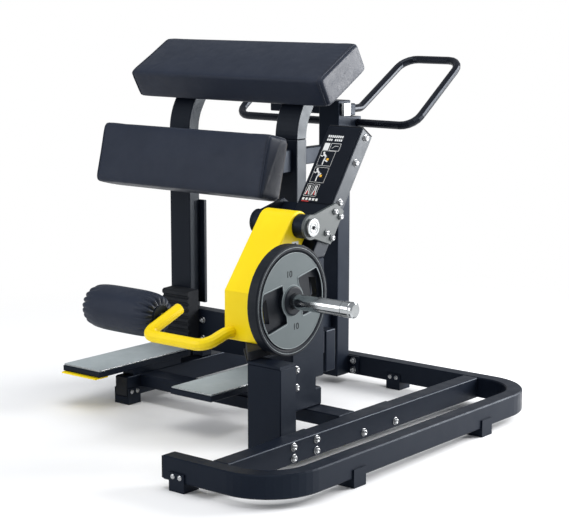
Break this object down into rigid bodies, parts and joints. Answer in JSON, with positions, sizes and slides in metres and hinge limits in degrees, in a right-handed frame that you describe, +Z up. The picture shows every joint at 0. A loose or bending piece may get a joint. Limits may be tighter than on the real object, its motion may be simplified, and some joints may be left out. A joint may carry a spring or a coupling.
{
  "type": "unilateral hamstring machine",
  "caption": "Standing leg-curl machine with a swinging weight lever, padded roller, sloping chest pad, thigh pad, footplates and handles on a looped base.",
  "frame": {"origin": "on the floor, below the middle of the machine's bounding box", "axes": "+X to the user's right, +Y the way the user faces, +Z up"},
  "size_m": [1.5234, 1.82, 1.2814],
  "materials": {
    "black_paint": "satin black powder coat",
    "grey_paint": "satin grey paint",
    "yellow_paint": "bright yellow powder coat",
    "chrome": "polished chrome",
    "leather": "fine-grained upholstery",
    "board": "stained plywood",
    "rubber": "matte moulded rubber",
    "plate_rubber": "rubber-coated weight plate",
    "tread": "pale anti-slip coat",
    "sign": "printed plastic plate",
    "label": "white plastic label"
  },
  "bodies": {
    "frame": {"base_loop": "black_paint", "chest_board": "board", "chest_bracket_left": "black_paint", "chest_bracket_right": "black_paint", "chest_pad": "leather", "column_lug": "chrome", "cross_member": "black_paint", "cross_panel": "black_paint", "foot_far_leg": "rubber", "foot_left_beam": "rubber", "foot_near_leg": "rubber", "foot_web_far": "rubber", "foot_web_near": "rubber", "gusset_left": "black_paint", "gusset_right": "grey_paint", "handle_bracket": "black_paint", "instruction_plate": "sign", "left_base_beam": "black_paint", "left_beam_plug": "rubber", "left_handle": "black_paint", "left_tray": "black_paint", "left_tread": "tread", "left_upright": "black_paint", "lever_tower": "black_paint", "lower_link": "black_paint", "main_base_beam": "black_paint", "near_leg_plug": "rubber", "panel_foot": "black_paint", "pivot_shaft": "chrome", "rear_column": "black_paint", "ribbed_stop_pad": "rubber", "right_handle": "black_paint", "right_tray": "black_paint", "right_tread": "tread", "right_upright": "black_paint", "shaft_cap": "chrome", "stop_bumper": "rubber", "stop_post": "black_paint", "stop_shelf": "black_paint", "thigh_arm_left": "black_paint", "thigh_arm_right": "black_paint", "thigh_board": "board", "thigh_pad": "leather", "tower_beam": "black_paint", "tower_beam_cap": "rubber", "tower_link": "black_paint", "tray_lip": "yellow_paint", "upper_link": "black_paint"},
    "lever": {"lever_body": "yellow_paint", "lever_hub": "black_paint", "number_plate": "label", "weight_horn": "chrome", "horn_collar": "chrome", "roller_arm": "yellow_paint", "roller_arm_cap": "rubber", "roller_axle": "chrome"},
    "roller": {"roller_core": "black_paint", "roller_pad": "leather"},
    "weight_plate": {"weight_plate": "plate_rubber"}
  },
  "joints": [
    {"name": "lever_swing", "type": "hinge", "parent": "frame", "child": "lever", "pos_m": [0.20835, -0.20985, 0.708], "axis": [-1, 0, 0], "range_deg": [0, 110]},
    {"name": "roller_spin", "type": "hinge", "parent": "lever", "child": "roller", "pos_m": [-0.30165, -0.42985, 0.388], "axis": [1, 0, 0], "continuous": true},
    {"name": "plate_slide", "type": "slide", "parent": "lever", "child": "weight_plate", "axis": [1, 0, 0], "range_m": [0, 0.23]}
  ]
}
